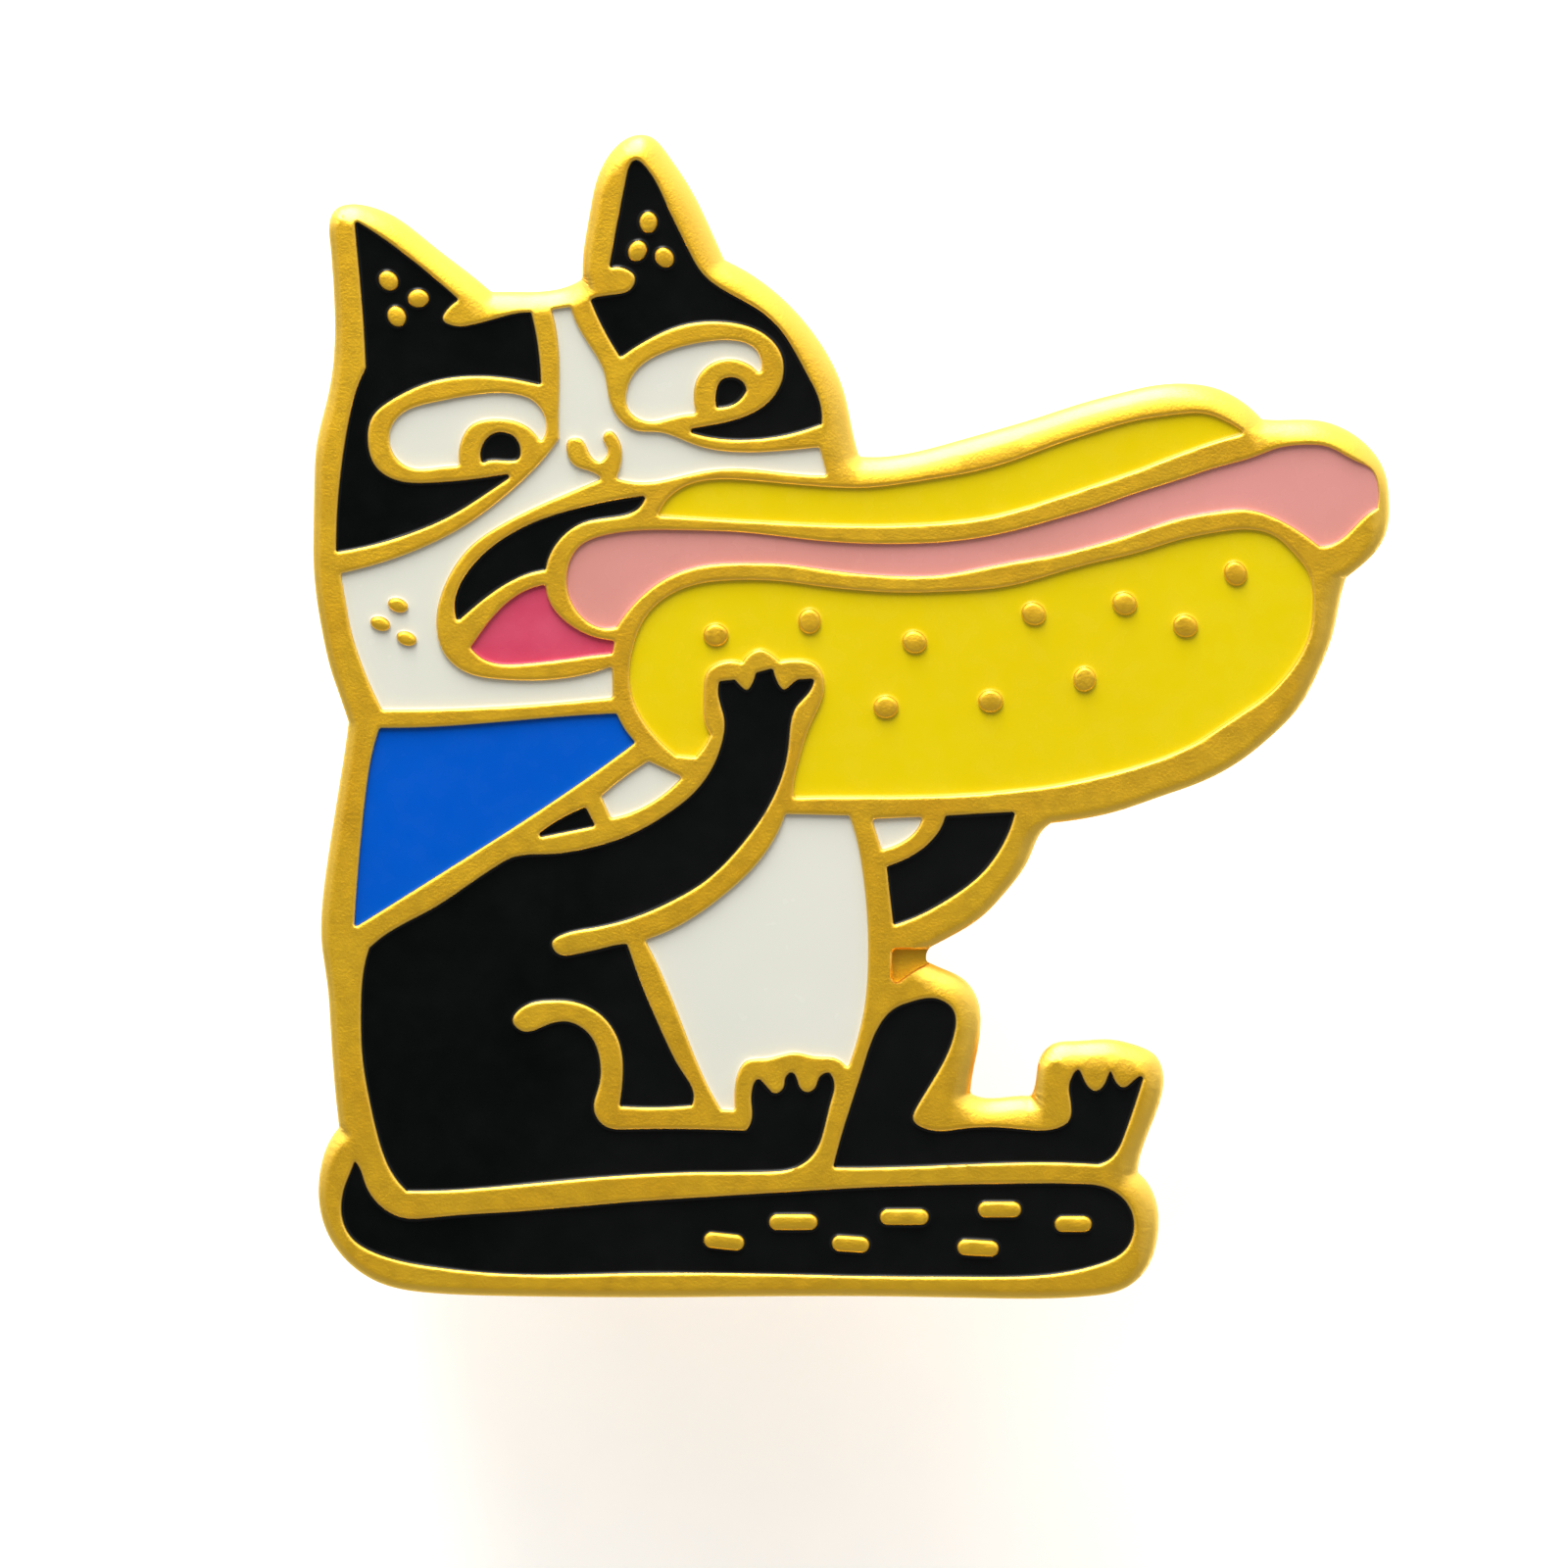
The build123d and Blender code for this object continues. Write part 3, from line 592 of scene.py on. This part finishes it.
class Finish:
    """A node material, with short calls for the nodes that this lesson uses."""

    def __init__(self, name):
        self.material = bpy.data.materials.new(name)
        self.material.use_nodes = True
        self.tree = self.material.node_tree
        self.shader = self.tree.nodes["Principled BSDF"]
        self.place = self.add("ShaderNodeTexCoord").outputs["Object"]

    def add(self, kind, **settings):
        node = self.tree.nodes.new(kind)
        for key, value in settings.items():
            setattr(node, key, value)
        return node

    def link(self, source, target):
        self.tree.links.new(source, target)

    def noise(self, size_mm, detail=2.0, roughness=0.5, stretch=None):
        """Noise whose features are about size_mm across."""
        made = self.add("ShaderNodeTexNoise")
        made.inputs["Scale"].default_value = 1 / (size_mm * mm)
        made.inputs["Detail"].default_value = detail
        made.inputs["Roughness"].default_value = roughness
        place = self.place
        if stretch:
            mapping = self.add("ShaderNodeMapping")
            mapping.inputs["Scale"].default_value = stretch
            self.link(place, mapping.inputs["Vector"])
            place = mapping.outputs["Vector"]
        self.link(place, made.inputs["Vector"])
        return made.outputs["Fac"]

    def spread(self, value, low, high, to_low, to_high):
        """Maps a value's range onto another."""
        made = self.add("ShaderNodeMapRange")
        set_range(made, low, high, to_low, to_high)
        self.link(value, made.inputs["Value"])
        return made.outputs["Result"]

    def blend(self, value, first, second):
        """A colour between two, by a value from 0 to 1. A Mix node's colours are sockets 6 and 7."""
        made = self.add("ShaderNodeMix", data_type="RGBA")
        for key, colour in ((6, first), (7, second)):
            if isinstance(colour, tuple):
                made.inputs[key].default_value = colour
            else:
                self.link(colour, made.inputs[key])
        self.link(value, made.inputs[0])
        return made.outputs[2]

    def bump(self, height, depth_mm, strength=1.0, onto=None):
        """Surface relief of a real depth."""
        made = self.add("ShaderNodeBump")
        made.inputs["Strength"].default_value = strength
        made.inputs["Distance"].default_value = depth_mm * mm
        self.link(height, made.inputs["Height"])
        if onto:
            self.link(onto, made.inputs["Normal"])
        return made.outputs["Normal"]

    def to(self, socket, value):
        """Sets or links one of the shader's own sockets."""
        if isinstance(value, bpy.types.NodeSocket):
            self.link(value, self.shader.inputs[socket])
        else:
            self.shader.inputs[socket].default_value = value


# %% [markdown]
# Satin gold plating shows two things at once: a saturated metal colour, and over it a wide soft sheen
# that is nearly white. One roughness can't give both, so the metal is fairly rough and a clear coat adds
# the sheen. The tone drifts a little over the face, is painted paler on the rounded edges and pool lips
# as a painted highlight, and a very fine relief breaks up the reflections.

# %% Satin gold plating
gold = Finish("satin_gold")
gold.to("Metallic", 1.0)
patches = gold.spread(gold.noise(2.6, 3), 0.3, 0.7, 0, 1)
plated = gold.blend(patches, tone(248, 198, 38), tone(242, 186, 30))
# The rounded edges and pool lips are painted a paler gold here, a painted highlight for the cream sheen
# they catch.
edge_highlight_mark = gold.add("ShaderNodeAttribute", attribute_name="painted_edge_highlight").outputs["Fac"]
edge_highlight_share = gold.spread(edge_highlight_mark, 0.0, 0.9, 0, 1)
gold.to("Base Color", gold.blend(edge_highlight_share, plated, tone(251, 209, 86)))
gold.to("Roughness", gold.spread(gold.noise(0.35, 3), 0.3, 0.7, 0.36, 0.41))
gold.to("Coat Weight", 0.7)
gold.to("Coat Roughness", 0.28)
gold.to("Coat IOR", 1.5)
grain = gold.bump(gold.noise(0.075, 3, 0.6), 0.009, 0.8)
gold.to("Normal", gold.bump(gold.noise(0.6, 2), 0.002, 0.4, onto=grain))
struck_metal.data.materials.append(gold.material)
print(gold.material.name, "uses", len(gold.tree.nodes), "nodes")

# %% [markdown]
# Baked enamel is opaque and glassy, and a pool is never quite one colour: the pigment settles unevenly.
# Each colour is two close tones. Noise mixes them in patches. A slow painted sheen from left to right
# makes the right end of a long pool a shade lighter than the left, standing in for the reflection it
# catches there.

# %% Enamel colours
# A painted sheen: the enamel is painted lighter from left to right between these x positions, in metres,
# by this much.
sheen_from, sheen_to = -0.009, 0.018
sheen_by = 0.35


def enamel_finish(name, deep, light, mottle_mm, roughness, level_of_shine):
    """Baked enamel: two close tones mixed by noise, with a painted sheen that lightens it to the right,
    under a glassy face.
    """
    made = Finish(name)
    # The mix of tones is noise mottle plus the painted sheen that lightens each pool towards the right.
    mottle_and_sheen = made.add("ShaderNodeMath", operation="ADD")
    along = made.add("ShaderNodeSeparateXYZ")
    made.link(made.place, along.inputs[0])
    made.link(made.spread(along.outputs["X"], sheen_from, sheen_to, -sheen_by, sheen_by), mottle_and_sheen.inputs[0])
    made.link(made.spread(made.noise(mottle_mm, 3), 0.2, 0.8, 0.1, 0.9), mottle_and_sheen.inputs[1])
    made.to("Base Color", made.blend(mottle_and_sheen.outputs[0], deep, light))
    made.to("Roughness", made.spread(made.noise(0.6, 2), 0.3, 0.7, roughness * 0.8, roughness * 1.25))
    made.to("Specular IOR Level", level_of_shine)
    made.to("Normal", made.bump(made.noise(0.9, 2), 0.003, 0.5))
    return made.material


# The two tones, the size of their patches in mm, the roughness and the level of shine.
recipes = {
    "black_enamel": (tone(3, 5, 5), tone(14, 15, 15), 3.0, 0.16, 0.2),
    "white_enamel": (tone(202, 203, 191), tone(206, 206, 196), 4.0, 0.22, 0.3),
    "yellow_enamel": (tone(208, 182, 0), tone(210, 189, 2), 5.0, 0.25, 0.3),
    "pink_enamel": (tone(190, 129, 117), tone(205, 138, 134), 4.0, 0.25, 0.3),
    "raspberry_enamel": (tone(184, 50, 82), tone(200, 84, 108), 1.6, 0.25, 0.3),
    "blue_enamel": (tone(0, 76, 180), tone(2, 82, 187), 2.5, 0.25, 0.12),
}
colours = {name: enamel_finish(name, *recipe) for name, recipe in recipes.items()}
for piece in enamels.values():
    piece.data.materials.append(colours[piece["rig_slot"]])
print("enamel colours:", ", ".join(colours))

# %% [markdown]
# ## Posts, solder and clutches
# Their CAD shapes are already right, so they keep their meshes. A weld and a narrow bevel
# take the knife edge off the sheet, as tumbling does, and catch a line of light.

# %% [markdown]
# Clutches are usually stamped from brass sheet, which keeps fine lines from rolling. Posts
# are usually nails with fine rings round them, and solder flows and sets in soft, dull
# waves. One colour with one roughness would make all three look like plastic. So each has
# patches of two tones, an uneven roughness and a shallow relief, and the lines and rings
# are noise squeezed along one axis.

# %% Stamped brass
brass = Finish("stamped_brass")
brass.to("Metallic", 1.0)
patches = brass.spread(brass.noise(1.8, 3), 0.35, 0.65, 0, 1)
brass.to("Base Color", brass.blend(patches, tone(234, 204, 128), tone(224, 190, 108)))
brass.to("Roughness", brass.spread(brass.noise(0.5, 4), 0.2, 0.8, 0.18, 0.30))
brass.to("Normal", brass.bump(brass.noise(0.05, 2, stretch=(1, 8, 1)), 0.004, 0.6))
print(brass.material.name, "uses", len(brass.tree.nodes), "nodes")

# %% Post wire
wire = Finish("post_wire")
wire.to("Metallic", 1.0)
patches = wire.spread(wire.noise(0.8, 3), 0.35, 0.65, 0, 1)
wire.to("Base Color", wire.blend(patches, tone(236, 200, 104), tone(214, 170, 70)))
wire.to("Roughness", wire.spread(wire.noise(0.3, 3), 0.3, 0.7, 0.20, 0.36))
wire.to("Normal", wire.bump(wire.noise(0.04, 2, stretch=(1, 1, 12)), 0.004, 0.6))
print(wire.material.name, "uses", len(wire.tree.nodes), "nodes")

# %% Flowed solder
tin = Finish("flowed_solder")
tin.to("Metallic", 1.0)
patches = tin.spread(tin.noise(0.7, 4), 0.35, 0.65, 0, 1)
tin.to("Base Color", tin.blend(patches, tone(196, 186, 158), tone(226, 196, 112)))
tin.to("Roughness", tin.spread(tin.noise(0.4, 3), 0.3, 0.7, 0.28, 0.5))
tin.to("Normal", tin.bump(tin.noise(0.35, 3), 0.05, 0.7))
print(tin.material.name, "uses", len(tin.tree.nodes), "nodes")

# %% Finish the pieces on the back
weld_gap = 0.001
tumbled_width = 0.05
back_finishes = {"clutch": brass, "post": wire, "solder": tin}


def tumbled(node):
    """Joins the mesh's split corners and takes the knife edge off."""
    weld = node.modifiers.new("weld", "WELD")
    weld.merge_threshold = weld_gap * mm
    edge = node.modifiers.new("tumbled_edges", "BEVEL")
    edge.width = tumbled_width * mm
    edge.segments = 2
    edge.limit_method = "ANGLE"
    edge.angle_limit = math.radians(sharp_corner)
    edge.harden_normals = False


back_pieces = {name: node for name, node in nodes.items() if name.split("_")[0] in back_finishes}
for name, node in back_pieces.items():
    node.data.materials.clear()
    node.data.materials.append(back_finishes[name.split("_")[0]].material)
    tumbled(node)
print("pieces on the back:", len(back_pieces))

# %% [markdown]
# ## Floor, light and camera
# The pin is held face up over a white table that glows a little, as a light table does,
# so its shadow is wide and faint. The table stands lower than the clutches can slide, so
# a clutch drawn off its post never meets it. One tall soft light stands beyond the ears,
# which makes every edge that faces that way cream white. The rest of the room is bright
# beyond the ears, dim in front, and dark straight above, where a camera would be.

# %% Floor
low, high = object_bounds()
# Half the table's width, and its gap to a clutch drawn right off, both in metres.
half = 1.5
table_gap = 0.0001
corners = [(-half, -half, 0), (half, -half, 0), (half, half, 0), (-half, half, 0)]
floor_mesh = bpy.data.meshes.new("table_top")
floor_mesh.from_pydata(corners, [], [(0, 1, 2, 3)])
floor = bpy.data.objects.new("table_top", floor_mesh)
joints = frame["record"]["behaviour"]["joints"]
slides = [joint["range_m"][1] for joint in joints if joint["type"] == "slide"]
floor.location.z = low.z - max(slides) - table_gap
bpy.context.scene.collection.objects.link(floor)
print("table, mm:", round(floor.location.z / mm, 2))

# %% White table
paper = Finish("white_table")
patches = paper.spread(paper.noise(1.2, 3), 0.3, 0.7, 0, 1)
paper.to("Base Color", paper.blend(patches, tone(250, 250, 249), tone(253, 252, 250)))
paper.to("Roughness", 0.9)
paper.to("Specular IOR Level", 0.1)
paper.to("Emission Color", tone(255, 253, 248))
paper.to("Emission Strength", 0.28)
floor_mesh.materials.append(paper.material)
print(paper.material.name, "uses", len(paper.tree.nodes), "nodes")

# %% The light beyond the ears
def soft_light(name, position, target, width, height, power, colour):
    """A soft light panel that faces a target, in mm."""
    lamp = bpy.data.lights.new(name, "AREA")
    lamp.shape = "RECTANGLE"
    lamp.size, lamp.size_y = width * mm, height * mm
    lamp.energy = power
    lamp.color = colour
    holder = bpy.data.objects.new(name, lamp)
    holder.location = Vector(position) * mm
    holder.rotation_euler = (Vector(target) - Vector(position)).to_track_quat("-Z", "Y").to_euler()
    bpy.context.scene.collection.objects.link(holder)
    return holder


middle = (low + high) / 2 / mm
beyond_ears = (middle.x - 40, middle.y + 260, 170)
window = soft_light("window_beyond_ears", beyond_ears, middle, 110, 320, 1.2, (1.0, 0.99, 0.97))
print("light:", window.name, "at", [round(c / mm) for c in window.location], "mm")

# %% The room
sky = bpy.data.worlds.new("room")
bpy.context.scene.world = sky
sky.use_nodes = True
links, parts = sky.node_tree.links, sky.node_tree.nodes
direction = parts.new("ShaderNodeTexCoord").outputs["Generated"]
split = parts.new("ShaderNodeSeparateXYZ")
links.new(direction, split.inputs[0])


def brightness(axis, low, high, to_low, to_high):
    """How bright the room is along one axis of direction, easing between two values."""
    made = parts.new("ShaderNodeMapRange")
    made.interpolation_type = "SMOOTHSTEP"
    set_range(made, low, high, to_low, to_high)
    links.new(split.outputs[axis], made.inputs["Value"])
    return made.outputs[0]


product = parts.new("ShaderNodeMath")
product.operation = "MULTIPLY"
links.new(brightness("Y", -0.05, 0.6, 0.40, 1.5), product.inputs[0])
links.new(brightness("Z", 0.95, 0.985, 1, 0.2), product.inputs[1])
links.new(product.outputs[0], parts["Background"].inputs["Strength"])
parts["Background"].inputs["Color"].default_value = (1, 0.995, 0.985, 1)
print("room:", sky.name, "with", len(parts), "nodes")

# %% Camera
view_width = 40.0
view_shift = -1.72
sensor_width = 36
base_low, base_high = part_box("struck_base")
base_middle = (base_low + base_high) / 2
camera_height = 400.0
lens = bpy.data.cameras.new("camera")
lens.sensor_width = sensor_width
lens.lens = sensor_width * camera_height / view_width
lens.clip_start, lens.clip_end = 0.01, 10
lens.dof.use_dof = False
camera = bpy.data.objects.new("camera", lens)
camera.location = base_middle + Vector((view_shift, view_shift, 0)) * mm
camera.location.z = (base_top + camera_height) * mm
bpy.context.scene.collection.objects.link(camera)
bpy.context.scene.camera = camera
bpy.context.scene.view_settings.view_transform = "Standard"
print("camera:", view_width, "mm across from", camera_height, "mm above")
